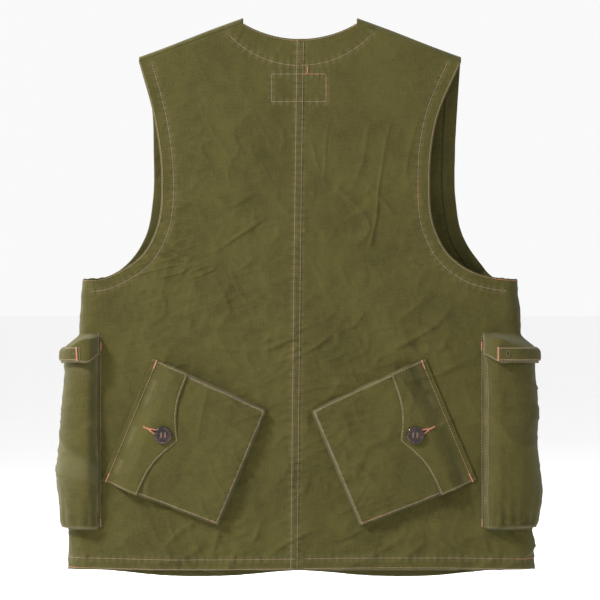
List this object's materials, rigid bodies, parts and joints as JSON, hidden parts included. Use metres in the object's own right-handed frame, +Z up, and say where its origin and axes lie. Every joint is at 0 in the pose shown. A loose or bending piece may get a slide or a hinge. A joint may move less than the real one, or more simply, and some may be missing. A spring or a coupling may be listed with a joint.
{
  "type": "fishing vest",
  "caption": "Sleeveless cotton fishing vest with slanted flap pockets on the back, tall side pockets and a buttoned front.",
  "frame": {"origin": "midway between the two points where the shoulder seams reach the neck, halfway from front to back", "axes": "+Z up towards the neck, +Y the way the wearer faces, +X to the wearer's right"},
  "size_m": [0.5686, 0.0798, 0.643],
  "materials": {
    "shell_cloth": "matt olive cotton cloth",
    "facing_cloth": "matt olive cotton cloth, inside",
    "thread": "matt sewing thread",
    "button": "polished marbled",
    "label_tape": "woven, blank"
  },
  "bodies": {
    "vest": {"armhole_facing_left": "facing_cloth", "armhole_facing_right": "facing_cloth", "back_bar_tacks_left": "thread", "back_bar_tacks_right": "thread", "back_button_left": "button", "back_button_right": "button", "back_button_thread_left": "thread", "back_button_thread_right": "thread", "back_flap_root_left": "shell_cloth", "back_flap_root_right": "shell_cloth", "back_hem_facing": "facing_cloth", "back_neck_facing": "facing_cloth", "back_panel_left": "shell_cloth", "back_panel_right": "shell_cloth", "back_pocket_left": "shell_cloth", "back_pocket_right": "shell_cloth", "centre_back_tape": "facing_cloth", "chest_bar_tacks_left": "thread", "chest_bar_tacks_right": "thread", "chest_button_left": "button", "chest_button_right": "button", "chest_button_thread_left": "thread", "chest_button_thread_right": "thread", "chest_flap_root_left": "shell_cloth", "chest_flap_root_right": "shell_cloth", "chest_pocket_left": "shell_cloth", "chest_pocket_right": "shell_cloth", "front_hem_facing_left": "facing_cloth", "front_hem_facing_right": "facing_cloth", "front_panel_left": "shell_cloth", "front_panel_right": "shell_cloth", "hanger_loop": "facing_cloth", "neck_label": "label_tape", "shoulder_seam_left": "shell_cloth", "shoulder_seam_right": "shell_cloth", "side_button_left": "button", "side_button_right": "button", "side_button_thread_left": "thread", "side_button_thread_right": "thread", "side_flap_root_left": "shell_cloth", "side_flap_root_right": "shell_cloth", "side_panel_left": "shell_cloth", "side_panel_right": "shell_cloth", "side_pocket_left": "shell_cloth", "side_pocket_right": "shell_cloth"},
    "front_left": {"front_edge_left": "shell_cloth", "front_placket": "shell_cloth"},
    "front_right": {"front_edge_right": "shell_cloth", "button_stand": "facing_cloth", "front_buttons": "button", "front_button_threads": "thread"},
    "back_flap_left": {"back_flap_left": "shell_cloth"},
    "chest_flap_left": {"chest_flap_left": "shell_cloth"},
    "side_flap_left": {"side_flap_left": "shell_cloth", "side_flap_tab_left": "shell_cloth"},
    "back_flap_right": {"back_flap_right": "shell_cloth"},
    "chest_flap_right": {"chest_flap_right": "shell_cloth"},
    "side_flap_right": {"side_flap_right": "shell_cloth", "side_flap_tab_right": "shell_cloth"}
  },
  "joints": [
    {"name": "front_left_open", "type": "hinge", "parent": "vest", "child": "front_left", "pos_m": [-0.066, 0.02198, -0.3275], "axis": [0, -0.0312, 0.9995], "range_deg": [0, 95]},
    {"name": "back_flap_left_lift", "type": "hinge", "parent": "vest", "child": "back_flap_left", "pos_m": [-0.196, -0.03459, -0.4581], "axis": [-0.3881, -0.0083, -0.9216], "range_deg": [0, 115]},
    {"name": "chest_flap_left_lift", "type": "hinge", "parent": "vest", "child": "chest_flap_left", "pos_m": [-0.128, 0.03103, -0.256], "axis": [0.9997, 0.0233, 0], "range_deg": [0, 150]},
    {"name": "side_flap_left_lift", "type": "hinge", "parent": "vest", "child": "side_flap_left", "pos_m": [-0.25779, -0.03649, -0.361], "axis": [-0.8791, 0.4766, 0], "range_deg": [0, 100]},
    {"name": "front_right_open", "type": "hinge", "parent": "vest", "child": "front_right", "pos_m": [0.066, 0.02198, -0.3275], "axis": [0, 0.0312, -0.9995], "range_deg": [0, 47.5]},
    {"name": "back_flap_right_lift", "type": "hinge", "parent": "vest", "child": "back_flap_right", "pos_m": [0.1712, -0.03562, -0.4581], "axis": [-0.3881, 0.0114, 0.9216], "range_deg": [0, 115]},
    {"name": "chest_flap_right_lift", "type": "hinge", "parent": "vest", "child": "chest_flap_right", "pos_m": [0.128, 0.03103, -0.256], "axis": [0.9997, -0.0233, 0], "range_deg": [0, 150]},
    {"name": "side_flap_right_lift", "type": "hinge", "parent": "vest", "child": "side_flap_right", "pos_m": [0.25339, -0.03854, -0.361], "axis": [-0.9299, -0.3678, 0], "range_deg": [0, 100]}
  ],
  "couplings": [
    {"joint": "front_right_open", "follows": "front_left_open", "ratio": 0.5}
  ]
}
